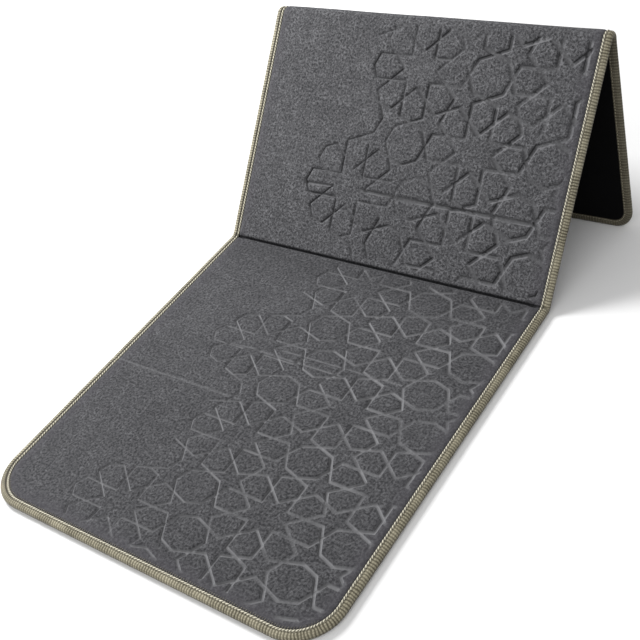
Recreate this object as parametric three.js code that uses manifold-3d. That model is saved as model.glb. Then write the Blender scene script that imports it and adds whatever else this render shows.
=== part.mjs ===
// Folded backrest prayer mat, in millimetres, +Z up.
// One padded plush mat is folded across twice. The front part lies flat as the seat, the
// middle part leans back, and the rear part is folded down behind it as its support.
// X runs across the mat, +Y from the seat's front edge towards the back.
import * as THREE from "three";
import { mergeVertices } from "three/addons/utils/BufferGeometryUtils.js";
import Module from "manifold-3d";

const wasm = await Module();
wasm.setup();

// Driving sizes of the flat mat
const MAT_WIDTH = 530;
const SEAT_LENGTH = 540;
const BACKREST_LENGTH = 343;
const SEAT_CORNER_RADIUS = 60;
const FOOT_CORNER_RADIUS = 26;

// How it is folded
const BACKREST_LEAN = THREE.MathUtils.degToRad(43.3);
const SUPPORT_LEAN = THREE.MathUtils.degToRad(12.5);
const CREASE_RADIUS = 12.2;
const RIDGE_RADIUS = 2;
const FOOT_DRIFT = 38;
const FOOT_FLAT_DEPTH = 0.6;

// Layers, as heights above the mat's underside
const CLOTH = 1.5;
const GAP = 0.3;
const EDGE_THICKNESS = 10;
const PLUSH_HEIGHT = 11;
const TAPE_TOP_REACH = 13;
const TAPE_UNDER_REACH = 10;

// How finely the round stretches are stepped
const SEAT_CORNER_STEPS = 8;
const FOOT_CORNER_STEPS = 6;
const CREASE_STEPS = 4;
const RIDGE_STEPS = 10;
const TAPE_OUTER_STEPS = 8;
const TAPE_INNER_STEPS = 4;

// Pressed pattern
const GROOVE_WIDTH = 4.2;
const GROOVE_DEPTH = 1.3;
const STAR_STEP = 0.04;
const PETAL_STEP = 0.1;
const OCTAGON_DEPTH = 1;
const PETAL_REACH = { across: 76.5, seat: 60.3, backrest: 73 };
const FIRST_STAR = { across: -70, seat: 352, backrest: 654 };
const CREASE_NOTCH = { width: 4, depth: 3.2 };

// Places along the mat where one stretch meets the next, measured on its underside
const BEND_AT_CREASE = Math.PI / 2 - BACKREST_LEAN;
const BEND_AT_RIDGE = BEND_AT_CREASE + Math.PI / 2 + SUPPORT_LEAN;
const CREASE_START = SEAT_LENGTH;
const BACKREST_START = CREASE_START + CREASE_RADIUS * BEND_AT_CREASE;
const RIDGE_START = BACKREST_START + BACKREST_LENGTH;
const SUPPORT_START = RIDGE_START + RIDGE_RADIUS * BEND_AT_RIDGE;

// A point and heading in the side view, as { y, z, turn } with turn from the +Y axis
function headingPoint(from, distance, rise) {
  const y = from.y + distance * Math.cos(from.turn) - rise * Math.sin(from.turn);
  const z = from.z + distance * Math.sin(from.turn) + rise * Math.cos(from.turn);
  return { y, z, turn: from.turn };
}

// A bend swings about a centre that lies centreRise above the underside
function bendPoint(from, centreRise, turned, rise) {
  const centre = headingPoint(from, 0, centreRise);
  const swung = { ...centre, turn: from.turn + turned };
  return headingPoint(swung, 0, rise - centreRise);
}

const seatFrom = { y: -SEAT_LENGTH, z: 0, turn: 0 };
const creaseFrom = headingPoint(seatFrom, SEAT_LENGTH, 0);
const backrestFrom = bendPoint(creaseFrom, CREASE_RADIUS, BEND_AT_CREASE, 0);
const ridgeFrom = headingPoint(backrestFrom, BACKREST_LENGTH, 0);
const supportFrom = bendPoint(ridgeFrom, -RIDGE_RADIUS, -BEND_AT_RIDGE, 0);

// The support is as long as it takes for its rounded foot edge to dip just below the floor,
// where it is cut off flat
const FOOT_RADIUS = EDGE_THICKNESS / 2;
const footCentreRise = FOOT_RADIUS - FOOT_FLAT_DEPTH;
const footDrop = supportFrom.z + FOOT_RADIUS * Math.cos(supportFrom.turn) - footCentreRise;
const SUPPORT_LENGTH = FOOT_RADIUS - footDrop / Math.sin(supportFrom.turn);
const MAT_LENGTH = SUPPORT_START + SUPPORT_LENGTH;

// Takes a place on the flat mat to where it lies on the folded one
function lay(across, along, rise) {
  let side;
  if (along <= CREASE_START) {
    side = headingPoint(seatFrom, along, rise);
  } else if (along <= BACKREST_START) {
    const turned = (along - CREASE_START) / CREASE_RADIUS;
    side = bendPoint(creaseFrom, CREASE_RADIUS, turned, rise);
  } else if (along <= RIDGE_START) {
    side = headingPoint(backrestFrom, along - BACKREST_START, rise);
  } else if (along <= SUPPORT_START) {
    const turned = (along - RIDGE_START) / RIDGE_RADIUS;
    side = bendPoint(ridgeFrom, -RIDGE_RADIUS, -turned, rise);
  } else {
    side = headingPoint(supportFrom, along - SUPPORT_START, rise);
  }
  const down = Math.max(0, along - SUPPORT_START) / SUPPORT_LENGTH;
  return new THREE.Vector3(across + FOOT_DRIFT * down, side.y, side.z);
}

// Evenly spaced numbers from first to last, both included
function spread(first, last, steps) {
  return Array.from({ length: steps + 1 }, (_, i) => first + ((last - first) * i) / steps);
}

// Places along the mat where its folds need a row of points
const BEND_STATIONS = [
  ...spread(CREASE_START, BACKREST_START, CREASE_STEPS),
  ...spread(RIDGE_START, SUPPORT_START, RIDGE_STEPS),
];

// Corner of an outline inset from the mat's edge, as rows of { along, half } from its end
function cornerRows(radius, inset, steps) {
  const inner = radius - inset;
  return spread(0, Math.PI / 2, steps).map((angle) => ({
    fromEnd: inset + inner * (1 - Math.sin(angle)),
    half: MAT_WIDTH / 2 - radius + inner * Math.cos(angle),
  }));
}

// Half widths of the inset mat at every row from its front end to its foot
function outlineRows(inset) {
  const front = cornerRows(SEAT_CORNER_RADIUS, inset, SEAT_CORNER_STEPS).reverse();
  const foot = cornerRows(FOOT_CORNER_RADIUS, inset, FOOT_CORNER_STEPS);
  const half = MAT_WIDTH / 2 - inset;
  return [
    ...front.map((row) => ({ along: row.fromEnd, half: row.half })),
    ...BEND_STATIONS.map((along) => ({ along, half })),
    ...foot.map((row) => ({ along: MAT_LENGTH - row.fromEnd, half: row.half })),
  ];
}

const MERGE_DISTANCE = 1e-4;

function bare(geometry) {
  geometry.deleteAttribute("normal");
  geometry.deleteAttribute("uv");
  return mergeVertices(geometry, MERGE_DISTANCE);
}

function signedVolume(geometry) {
  const at = geometry.getAttribute("position");
  const index = geometry.getIndex();
  const a = new THREE.Vector3();
  const b = new THREE.Vector3();
  const c = new THREE.Vector3();
  let total = 0;
  for (let i = 0; i < index.count; i += 3) {
    a.fromBufferAttribute(at, index.getX(i));
    b.fromBufferAttribute(at, index.getX(i + 1));
    c.fromBufferAttribute(at, index.getX(i + 2));
    total += a.dot(b.cross(c)) / 6;
  }
  return total;
}

function faceOutwards(geometry) {
  if (signedVolume(geometry) < 0) {
    geometry.getIndex().array.reverse();
  }
  return geometry;
}

function toSolid(geometry) {
  const closed = faceOutwards(bare(geometry));
  const mesh = new wasm.Mesh({
    numProp: 3,
    vertProperties: new Float32Array(closed.getAttribute("position").array),
    triVerts: new Uint32Array(closed.getIndex().array),
  });
  return new wasm.Manifold(mesh);
}

function toGeometry(solid) {
  const mesh = solid.getMesh();
  const geometry = new THREE.BufferGeometry();
  geometry.setAttribute("position", new THREE.BufferAttribute(mesh.vertProperties, 3));
  geometry.setIndex(new THREE.BufferAttribute(mesh.triVerts, 1));
  geometry.computeVertexNormals();
  return geometry;
}

// A slab as wide as the mat, folded with it. Its edge follows a profile of { inset, rise }
// from its lower face to its upper one.
function slab(profile) {
  const outlines = profile.map((point) => outlineRows(point.inset));
  const spans = outlines[0].length - 1;
  const levels = profile.length - 1;
  const block = new THREE.BoxGeometry(2, spans, levels, 1, spans, levels);
  const at = block.getAttribute("position");
  for (let i = 0; i < at.count; i += 1) {
    const level = Math.round(at.getZ(i) + levels / 2);
    const row = outlines[level][Math.round(at.getY(i) + spans / 2)];
    const place = lay(Math.sign(at.getX(i)) * row.half, row.along, profile[level].rise);
    at.setXYZ(i, place.x, place.y, place.z);
  }
  return toSolid(block);
}

// Section of the edge tape as { inset, rise }: the cloth goes round the edge in a half circle
function tapeSection() {
  const middle = EDGE_THICKNESS / 2;
  const around = (radius, steps) =>
    spread(-Math.PI / 2, Math.PI / 2, steps).map((angle) => ({
      inset: middle - radius * Math.cos(angle),
      rise: middle + radius * Math.sin(angle),
    }));
  return [
    { inset: TAPE_UNDER_REACH, rise: 0 },
    ...around(middle, TAPE_OUTER_STEPS),
    { inset: TAPE_TOP_REACH, rise: EDGE_THICKNESS },
    { inset: TAPE_TOP_REACH, rise: EDGE_THICKNESS - CLOTH },
    ...around(middle - CLOTH, TAPE_INNER_STEPS).reverse(),
    { inset: TAPE_UNDER_REACH, rise: CLOTH },
  ];
}

// The mat's edge as stations { across, along, outX, outAlong }, once round in order
function edgeStations() {
  const side = MAT_WIDTH / 2;
  const corner = (sign, centreAlong, radius, from, steps) =>
    spread(from, from + Math.PI / 2, steps).map((angle) => ({
      across: sign * (side - radius) + radius * Math.cos(angle),
      along: centreAlong + radius * Math.sin(angle),
      outX: Math.cos(angle),
      outAlong: Math.sin(angle),
    }));
  const seatCorner = (sign, from) =>
    corner(sign, SEAT_CORNER_RADIUS, SEAT_CORNER_RADIUS, from, SEAT_CORNER_STEPS);
  const footCorner = (sign, from) =>
    corner(sign, MAT_LENGTH - FOOT_CORNER_RADIUS, FOOT_CORNER_RADIUS, from, FOOT_CORNER_STEPS);
  const straight = (sign, places) =>
    places.map((along) => ({ across: sign * side, along, outX: sign, outAlong: 0 }));
  return [
    ...straight(1, BEND_STATIONS),
    ...footCorner(1, 0),
    ...footCorner(-1, Math.PI / 2),
    ...straight(-1, [...BEND_STATIONS].reverse()),
    ...seatCorner(-1, Math.PI),
    ...seatCorner(1, 1.5 * Math.PI),
  ];
}

// The tape's section swept once round the edge: a ring whose points are put in place one by one
function tapeRing() {
  const stations = edgeStations();
  const section = tapeSection();
  const ring = new THREE.TorusGeometry(2, 1, section.length, stations.length);
  const at = ring.getAttribute("position");
  for (let i = 0; i < at.count; i += 1) {
    const point = section[Math.floor(i / (stations.length + 1)) % section.length];
    const station = stations[(i % (stations.length + 1)) % stations.length];
    const across = station.across - point.inset * station.outX;
    const along = station.along - point.inset * station.outAlong;
    const place = lay(across, along, point.rise);
    at.setXYZ(i, place.x, place.y, place.z);
  }
  return toSolid(ring);
}

// Flat stretches of the mat that carry the pattern, clear of its edge, crease and ridge, with
// the place of a star there and how far its petals reach along the mat
const PRESSED_MARGIN = 17;
const CREASE_CLEARANCE = 7;
const RIDGE_CLEARANCE = 3;
const PRESSED_STRETCHES = [
  {
    from: PRESSED_MARGIN,
    to: CREASE_START - CREASE_CLEARANCE,
    star: FIRST_STAR.seat,
    reach: PETAL_REACH.seat,
  },
  {
    from: BACKREST_START + CREASE_CLEARANCE,
    to: RIDGE_START - RIDGE_CLEARANCE,
    star: FIRST_STAR.backrest,
    reach: PETAL_REACH.backrest,
  },
];

// Eight pairs of lines make a star with eight points and run on as the sides of eight petals
// round it. The pattern is drawn in units of a petal's reach from the middle of its star.
const PETALS = 8;
const STAR_LINE = 0.24;
const POINT_ANGLE = Math.PI / PETALS;
const NOTCH = STAR_LINE * Math.SQRT2;
const PETAL = [
  { x: NOTCH, y: 0 },
  { x: NOTCH + STAR_LINE, y: STAR_LINE },
  { x: 1 - STAR_LINE * Math.tan(POINT_ANGLE), y: STAR_LINE },
  { x: 1, y: 0 },
  { x: 1 - STAR_LINE * Math.tan(POINT_ANGLE), y: -STAR_LINE },
  { x: NOTCH + STAR_LINE, y: -STAR_LINE },
];

// Petals meet tip to tip, or at the corners of octagons that stand in a ring round a star
const OCTAGON_DISTANCE = Math.SQRT2;
const OCTAGON_RADIUS = OCTAGON_DISTANCE - 1;

// One square cell of the pattern about a star, from its middle to its side
const HALF_CELL = 1 + Math.SQRT2;
const CELL_STARS = [
  { x: 0, y: 0 },
  { x: HALF_CELL, y: 1 },
  { x: HALF_CELL, y: -1 },
  { x: 1, y: HALF_CELL },
  { x: -1, y: HALF_CELL },
];
const CELL_COLUMNS = [0, 1];
const CELL_ROWS = [-1, 0, 1];

function turnedPoint(point, angle) {
  return {
    x: point.x * Math.cos(angle) - point.y * Math.sin(angle),
    y: point.x * Math.sin(angle) + point.y * Math.cos(angle),
  };
}

// A point turned to each of the eight directions
function eightfold(point) {
  return spread(0, PETALS - 1, PETALS - 1).map((k) => turnedPoint(point, 2 * k * POINT_ANGLE));
}

function moved(outline, by) {
  return outline.map((point) => ({ x: point.x + by.x, y: point.y + by.y }));
}

// Outlines of one cell as { outline, depth }. No two that meet are pressed equally deep, so
// that one groove always runs on through the other.
function cellOutlines(centre) {
  const petals = CELL_STARS.flatMap((star, number) =>
    spread(0, PETALS - 1, PETALS - 1).map((k) => ({
      outline: moved(PETAL.map((point) => turnedPoint(point, 2 * k * POINT_ANGLE)), star),
      depth: GROOVE_DEPTH - STAR_STEP * number - PETAL_STEP * (k % 2),
    })),
  );
  const octagonPlaces = [
    ...eightfold({ x: OCTAGON_DISTANCE, y: 0 }),
    { x: HALF_CELL, y: HALF_CELL },
  ];
  const octagons = octagonPlaces.map((place) => ({
    outline: moved(eightfold({ x: OCTAGON_RADIUS, y: 0 }), place),
    depth: OCTAGON_DEPTH,
  }));
  return [...petals, ...octagons].map(({ outline, depth }) => ({
    outline: moved(outline, centre),
    depth,
  }));
}

function onMat(point, stretch) {
  return {
    across: FIRST_STAR.across + PETAL_REACH.across * point.x,
    along: stretch.star + stretch.reach * point.y,
  };
}

// On the left the pattern ends raggedly: past the middle of the first stars there are only their
// own petals, whose centres lie within this share of a petal's reach
const PETAL_CENTRE = 0.8;
const LEFT_LIMIT = FIRST_STAR.across - PETAL_CENTRE * PETAL_REACH.across;

function isDrawn(a, b, stretch) {
  const middle = between(a, b, 0.5);
  const reaches = (middle.along - stretch.star) / stretch.reach;
  const cells = reaches / (2 * HALF_CELL);
  const besideStar = Math.abs(cells - Math.round(cells)) * 2 * HALF_CELL < 1;
  return besideStar || middle.across > FIRST_STAR.across;
}

function centreOf(outline) {
  const total = outline.reduce(
    (sum, point) => ({ across: sum.across + point.across, along: sum.along + point.along }),
    { across: 0, along: 0 },
  );
  return { across: total.across / outline.length, along: total.along / outline.length };
}

// Whether a place lies on a pressed stretch and clear of the rounded front corners
function isPressed(point, stretch) {
  const side = MAT_WIDTH / 2;
  if (point.along < stretch.from || point.along > stretch.to) return false;
  if (Math.abs(point.across) > side - PRESSED_MARGIN) return false;
  const cornerX = Math.abs(point.across) - (side - SEAT_CORNER_RADIUS);
  const cornerAlong = SEAT_CORNER_RADIUS - point.along;
  const outside = Math.hypot(Math.max(0, cornerX), Math.max(0, cornerAlong));
  return outside <= SEAT_CORNER_RADIUS - PRESSED_MARGIN;
}

function between(a, b, share) {
  return {
    across: a.across + (b.across - a.across) * share,
    along: a.along + (b.along - a.along) * share,
  };
}

// Shortens a line that leaves the pressed stretch, by halving towards the place where it leaves
const HALVINGS = 16;

function clipLine(a, b, stretch) {
  const startsIn = isPressed(a, stretch);
  const endsIn = isPressed(b, stretch);
  if (startsIn && endsIn) return [a, b];
  if (!startsIn && !endsIn) return null;
  let inside = startsIn ? 0 : 1;
  let outside = startsIn ? 1 : 0;
  for (let i = 0; i < HALVINGS; i += 1) {
    const middle = (inside + outside) / 2;
    if (isPressed(between(a, b, middle), stretch)) inside = middle;
    else outside = middle;
  }
  const end = between(a, b, inside);
  return startsIn ? [a, end] : [end, b];
}

function distance(a, b) {
  return Math.hypot(a.across - b.across, a.along - b.along);
}

// The runs of an outline that lie on a pressed stretch, as { points, closed }
function pressedRuns(outline, stretch) {
  const sides = outline.map((point, i) => {
    const next = outline[(i + 1) % outline.length];
    return isDrawn(point, next, stretch) ? clipLine(point, next, stretch) : null;
  });
  const wholeSide = (side, i) =>
    side !== null && side[0] === outline[i] && side[1] === outline[(i + 1) % outline.length];
  if (sides.every(wholeSide)) return [{ points: outline, closed: true }];
  const first = sides.findIndex((side, i) => side !== null && !wholeSide(side, i));
  const runs = [];
  sides.forEach((_, step) => {
    const side = sides[(Math.max(0, first) + step) % sides.length];
    if (side === null) return;
    const open = runs[runs.length - 1];
    if (open && open[open.length - 1] === side[0]) open.push(side[1]);
    else runs.push([...side]);
  });
  const longEnough = (points) => points.length > 2 || distance(points[0], points[1]) > GROOVE_WIDTH;
  return runs.filter(longEnough).map((points) => ({ points, closed: false }));
}

function patternRuns() {
  const runs = [];
  for (const stretch of PRESSED_STRETCHES) {
    for (const column of CELL_COLUMNS) {
      for (const row of CELL_ROWS) {
        const centre = { x: 2 * HALF_CELL * column, y: 2 * HALF_CELL * row };
        for (const { outline, depth } of cellOutlines(centre)) {
          const placed = outline.map((point) => onMat(point, stretch));
          if (centreOf(placed).across < LEFT_LIMIT) continue;
          runs.push(...pressedRuns(placed, stretch).map((run) => ({ ...run, depth })));
        }
      }
    }
  }
  return runs;
}

// A cutter is a V-shaped channel, its keel under the plush and its rim above it. It is given
// as rows { keel, left, right } of points, and its ends are closed unless it comes round again.
const CUTTER_LIFT = 1;

function channelCutter(rows, closed) {
  const points = rows.flatMap((row) => [row.keel, row.left, row.right]);
  const faces = [];
  const spans = closed ? rows.length : rows.length - 1;
  for (let i = 0; i < spans; i += 1) {
    const next = (i + 1) % rows.length;
    for (let corner = 0; corner < 3; corner += 1) {
      const a = 3 * i + corner;
      const b = 3 * i + ((corner + 1) % 3);
      const c = 3 * next + ((corner + 1) % 3);
      const d = 3 * next + corner;
      faces.push(a, b, c, a, c, d);
    }
  }
  if (!closed) {
    const last = 3 * (rows.length - 1);
    faces.push(0, 2, 1, last, last + 1, last + 2);
  }
  const geometry = new THREE.BufferGeometry().setFromPoints(points);
  geometry.setIndex(faces);
  return new wasm.Manifold(
    new wasm.Mesh({
      numProp: 3,
      vertProperties: new Float32Array(geometry.getAttribute("position").array),
      triVerts: new Uint32Array(faceOutwards(geometry).getIndex().array),
    }),
  );
}

function heading(a, b) {
  const length = distance(a, b);
  return { x: (b.across - a.across) / length, along: (b.along - a.along) / length };
}

// A groove along a run of points, mitred at its corners and sloped at its open ends
function grooveCutter({ points, closed, depth }) {
  const half = ((GROOVE_WIDTH / 2) * (depth + CUTTER_LIFT)) / GROOVE_DEPTH;
  const rim = PLUSH_HEIGHT + CUTTER_LIFT;
  const count = points.length;
  const rows = points.map((point, i) => {
    const starts = !closed && i === 0;
    const ends = !closed && i === count - 1;
    const after = ends ? null : heading(point, points[(i + 1) % count]);
    const before = starts ? after : heading(points[(i + count - 1) % count], point);
    const onward = after ?? before;
    const mitre = 1 + before.x * onward.x + before.along * onward.along;
    const asideX = (-(before.along + onward.along) * half) / mitre;
    const asideAlong = ((before.x + onward.x) * half) / mitre;
    const forward = half * (Number(ends) - Number(starts));
    const rimPoint = (side) =>
      lay(
        point.across + forward * onward.x + side * asideX,
        point.along + forward * onward.along + side * asideAlong,
        rim,
      );
    const keel = lay(point.across, point.along, PLUSH_HEIGHT - depth);
    return { keel, left: rimPoint(1), right: rimPoint(-1) };
  });
  return channelCutter(rows, closed);
}

// The notch that the crease presses into the plush, from side to side
function creaseCutter() {
  const reach = MAT_WIDTH / 2 - PRESSED_MARGIN;
  const middle = (CREASE_START + BACKREST_START) / 2;
  const rim = PLUSH_HEIGHT + CUTTER_LIFT;
  const rows = [-reach, reach].map((across) => ({
    keel: lay(across, middle, PLUSH_HEIGHT - CREASE_NOTCH.depth),
    left: lay(across, BACKREST_START + CREASE_NOTCH.width / 2, rim),
    right: lay(across, CREASE_START - CREASE_NOTCH.width / 2, rim),
  }));
  return channelCutter(rows, false);
}

// Heights at which the layers meet inside the tape, and how far its round edge lets them reach
const UNDER_TAPE = CLOTH + GAP;
const PAD_OVER_BACKING = UNDER_TAPE + CLOTH + GAP;
const PAD_UNDER_TAPE = EDGE_THICKNESS - CLOTH - GAP;
const LAYER_INSET = EDGE_THICKNESS / 2;
const SUNK_INSET = TAPE_UNDER_REACH + GAP;
const BODY_INSET = SUNK_INSET + CLOTH + GAP;
const CROWN_INSET = TAPE_TOP_REACH + GAP;
const PAD_LIP = { inset: 2.8, low: 3.7, high: 6.5 };
const SHOULDER_DROPS = [
  { in: 0, drop: 0.9 },
  { in: 0.9, drop: 0.3 },
  { in: 2.6, drop: 0 },
];

function plushPad() {
  const pad = slab([
    { inset: BODY_INSET, rise: UNDER_TAPE },
    { inset: BODY_INSET, rise: PAD_OVER_BACKING },
    { inset: LAYER_INSET, rise: PAD_OVER_BACKING },
    { inset: PAD_LIP.inset, rise: PAD_LIP.low },
    { inset: PAD_LIP.inset, rise: PAD_LIP.high },
    { inset: LAYER_INSET, rise: PAD_UNDER_TAPE },
    { inset: CROWN_INSET, rise: PAD_UNDER_TAPE },
    ...SHOULDER_DROPS.map((step) => ({
      inset: CROWN_INSET + step.in,
      rise: PLUSH_HEIGHT - step.drop,
    })),
  ]);
  const cutters = [...patternRuns().map(grooveCutter), creaseCutter()];
  return pad.subtract(cutters.reduce((sum, cutter) => sum.add(cutter)));
}

// Under the tape the backing runs out over its edge, and inside it sinks to the floor
function backingCloth() {
  return slab([
    { inset: SUNK_INSET, rise: 0 },
    { inset: SUNK_INSET, rise: UNDER_TAPE },
    { inset: LAYER_INSET, rise: UNDER_TAPE },
    { inset: LAYER_INSET, rise: UNDER_TAPE + CLOTH },
    { inset: SUNK_INSET + CLOTH, rise: UNDER_TAPE + CLOTH },
    { inset: SUNK_INSET + CLOTH, rise: CLOTH },
  ]);
}

// The tape, with the small flat that its foot edge stands on
function edgeTape() {
  const below = new THREE.BoxGeometry(2 * MAT_WIDTH, MAT_WIDTH, MAT_WIDTH);
  below.translate(0, supportFrom.y, -MAT_WIDTH / 2);
  return tapeRing().subtract(toSolid(below));
}

const plush = new THREE.MeshStandardMaterial({
  name: "charcoal_plush",
  color: "#4c4d50",
  roughness: 0.95,
  metalness: 0,
});
const backing = new THREE.MeshStandardMaterial({
  name: "black_backing",
  color: "#141416",
  roughness: 0.7,
  metalness: 0,
});
const tape = new THREE.MeshStandardMaterial({
  name: "khaki_tape",
  color: "#9a9172",
  roughness: 0.6,
  metalness: 0,
});

const mat = new THREE.Group();
mat.name = "backrest_prayer_mat";

function addPiece(name, solid, material) {
  const mesh = new THREE.Mesh(toGeometry(solid), material);
  mesh.name = name;
  mat.add(mesh);
}

addPiece("plush_pad", plushPad(), plush);
addPiece("backing_cloth", backingCloth(), backing);
addPiece("edge_tape", edgeTape(), tape);

// The origin is the bottom centre of the folded mat's box
const box = new THREE.Box3().setFromObject(mat);
const middle = box.getCenter(new THREE.Vector3());
mat.position.set(-middle.x, -middle.y, 0);

export default mat;
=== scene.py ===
import math

import bpy
import numpy as np
from mathutils import Matrix, Vector, noise
from mathutils.geometry import delaunay_2d_cdt


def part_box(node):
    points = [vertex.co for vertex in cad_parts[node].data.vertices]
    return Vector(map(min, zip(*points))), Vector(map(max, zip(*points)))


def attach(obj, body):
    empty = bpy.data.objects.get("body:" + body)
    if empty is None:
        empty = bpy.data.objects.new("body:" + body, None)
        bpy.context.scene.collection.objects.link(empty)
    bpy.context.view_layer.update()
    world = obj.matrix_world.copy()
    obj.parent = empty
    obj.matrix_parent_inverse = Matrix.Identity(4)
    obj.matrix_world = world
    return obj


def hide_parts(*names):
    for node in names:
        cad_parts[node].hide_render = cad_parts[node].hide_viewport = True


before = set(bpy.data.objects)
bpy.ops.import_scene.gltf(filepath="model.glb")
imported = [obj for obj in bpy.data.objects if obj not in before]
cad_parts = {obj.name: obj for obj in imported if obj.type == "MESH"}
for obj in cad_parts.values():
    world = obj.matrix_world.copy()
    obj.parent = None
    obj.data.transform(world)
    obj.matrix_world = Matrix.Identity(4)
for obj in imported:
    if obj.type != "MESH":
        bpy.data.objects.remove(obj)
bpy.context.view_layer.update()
bpy.ops.object.select_all(action="DESELECT")

# The mat laid out flat, and how it is folded
MAT_WIDTH = 0.53
HALF_WIDTH = MAT_WIDTH / 2
SEAT_LENGTH = 0.54
BACKREST_LENGTH = 0.343
SEAT_CORNER_RADIUS = 0.06
FOOT_CORNER_RADIUS = 0.026
BACKREST_LEAN = math.radians(43.3)
SUPPORT_LEAN = math.radians(12.5)
CREASE_RADIUS = 0.0122
RIDGE_RADIUS = 0.002
EDGE_THICKNESS = 0.01
PLUSH_HEIGHT = 0.011
FOOT_FLAT_DEPTH = 0.0006

# Places along the mat where one stretch meets the next, measured on its underside
BEND_AT_CREASE = math.pi / 2 - BACKREST_LEAN
BEND_AT_RIDGE = BEND_AT_CREASE + math.pi / 2 + SUPPORT_LEAN
CREASE_START = SEAT_LENGTH
BACKREST_START = CREASE_START + CREASE_RADIUS * BEND_AT_CREASE
RIDGE_START = BACKREST_START + BACKREST_LENGTH
SUPPORT_START = RIDGE_START + RIDGE_RADIUS * BEND_AT_RIDGE

# The seat's front left corner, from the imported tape
tape_low, tape_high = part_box("edge_tape")
MIDDLE_X = tape_low[0] + HALF_WIDTH
FRONT_Y = tape_low[1]
FOOT_DRIFT = tape_high[0] - MIDDLE_X - HALF_WIDTH


def underside(along):
    """Side view of the mat's underside: y, z and heading at each place along it."""
    along = np.asarray(along, float)
    y = np.full_like(along, FRONT_Y)
    z = np.zeros_like(along)
    turn = np.zeros_like(along)
    heading = 0.0
    stretches = (
        (0.0, CREASE_START, None),
        (CREASE_START, BACKREST_START, CREASE_RADIUS),
        (BACKREST_START, RIDGE_START, None),
        (RIDGE_START, SUPPORT_START, -RIDGE_RADIUS),
        (SUPPORT_START, math.inf, None),
    )
    for start, end, radius in stretches:
        gone = np.clip(along - start, 0, end - start)
        if radius is None:
            y += gone * math.cos(heading)
            z += gone * math.sin(heading)
            continue
        turned = gone / radius
        y += radius * (np.sin(heading + turned) - math.sin(heading))
        z -= radius * (np.cos(heading + turned) - math.cos(heading))
        turn += turned
        heading += (end - start) / radius
    return y, z, turn


def support_length():
    """The support reaches down until its rounded foot edge dips just below the floor."""
    _, top, turn = (float(value) for value in underside(SUPPORT_START))
    radius = EDGE_THICKNESS / 2
    drop = top + radius * math.cos(turn) - (radius - FOOT_FLAT_DEPTH)
    return radius - drop / math.sin(turn)


SUPPORT_LENGTH = support_length()
MAT_LENGTH = SUPPORT_START + SUPPORT_LENGTH


def lay(across, along, rise):
    """Takes places on the flat mat to where they lie on the folded one, as an n by 3 array."""
    across, along, rise = np.broadcast_arrays(across, along, rise)
    y, z, turn = underside(along)
    down = np.maximum(0, along - SUPPORT_START) / SUPPORT_LENGTH
    x = MIDDLE_X + across + FOOT_DRIFT * down
    return np.stack([x, y - rise * np.sin(turn), z + rise * np.cos(turn)], axis=-1)


# The plush face is shorter than the underside at the crease and longer over the ridge
FACE_KNOTS = np.array([0, CREASE_START, BACKREST_START, RIDGE_START, SUPPORT_START, MAT_LENGTH])
FACE_STRETCH = [1, 1 - PLUSH_HEIGHT / CREASE_RADIUS, 1, 1 + PLUSH_HEIGHT / RIDGE_RADIUS, 1]
FACE_LENGTHS = np.concatenate([[0], np.cumsum(np.diff(FACE_KNOTS) * FACE_STRETCH)])
FACE_CREASE = (FACE_LENGTHS[1] + FACE_LENGTHS[2]) / 2
FACE_RIDGE = (FACE_LENGTHS[3], FACE_LENGTHS[4])


def face_length(along):
    return np.interp(along, FACE_KNOTS, FACE_LENGTHS)


def along_of(face):
    return np.interp(face, FACE_LENGTHS, FACE_KNOTS)


def smooth_step(value, low, high):
    share = np.clip((value - low) / (high - low), 0, 1)
    return share * share * (3 - 2 * share)


def soft_noise(points, size, seed):
    """Smooth noise from -1 to 1 over a list of plan points, with bumps about size across."""
    return np.array([noise.noise(Vector((x / size, y / size, seed))) for x, y in points])


# The edge of the mat
SIDE_STEP = 0.004
CORNER_STEPS = 16
CREASE_STEPS = 8
RIDGE_STEPS = 20


def spaced(first, last, step):
    return np.linspace(first, last, max(2, round(abs(last - first) / step) + 1))


def side_places():
    """Places along the straight sides, closer together in the two bends."""
    seat = spaced(SEAT_CORNER_RADIUS, CREASE_START, SIDE_STEP)
    crease = np.linspace(CREASE_START, BACKREST_START, CREASE_STEPS + 1)
    back = spaced(BACKREST_START, RIDGE_START, SIDE_STEP)
    ridge = np.linspace(RIDGE_START, SUPPORT_START, RIDGE_STEPS + 1)
    support = spaced(SUPPORT_START, MAT_LENGTH - FOOT_CORNER_RADIUS, SIDE_STEP)
    return np.unique(np.concatenate([seat, crease, back, ridge, support]).round(9))


def edge_stations():
    """The mat's edge once round, as rows of across, along and the way out from the mat."""
    places = side_places()
    foot_along = MAT_LENGTH - FOOT_CORNER_RADIUS

    def straight(sign, along):
        return [(sign * HALF_WIDTH, place, sign, 0) for place in along]

    def corner(sign, radius, centre, first):
        rows = []
        for angle in np.linspace(first, first + math.pi / 2, CORNER_STEPS + 1)[1:-1]:
            out = (math.cos(angle), math.sin(angle))
            x = sign * (HALF_WIDTH - radius) + radius * out[0]
            rows.append((x, centre + radius * out[1], *out))
        return rows

    def end(radius, along, sign, way):
        reach = HALF_WIDTH - radius
        return [(sign * x, along, 0, way) for x in spaced(reach, -reach, SIDE_STEP)]

    return np.array(
        straight(1, places)
        + corner(1, FOOT_CORNER_RADIUS, foot_along, 0)
        + end(FOOT_CORNER_RADIUS, MAT_LENGTH, 1, 1)
        + corner(-1, FOOT_CORNER_RADIUS, foot_along, math.pi / 2)
        + straight(-1, places[::-1])
        + corner(-1, SEAT_CORNER_RADIUS, SEAT_CORNER_RADIUS, math.pi)
        + end(SEAT_CORNER_RADIUS, 0, -1, -1)
        + corner(1, SEAT_CORNER_RADIUS, SEAT_CORNER_RADIUS, 1.5 * math.pi)
    )


STATIONS = edge_stations()


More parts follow.
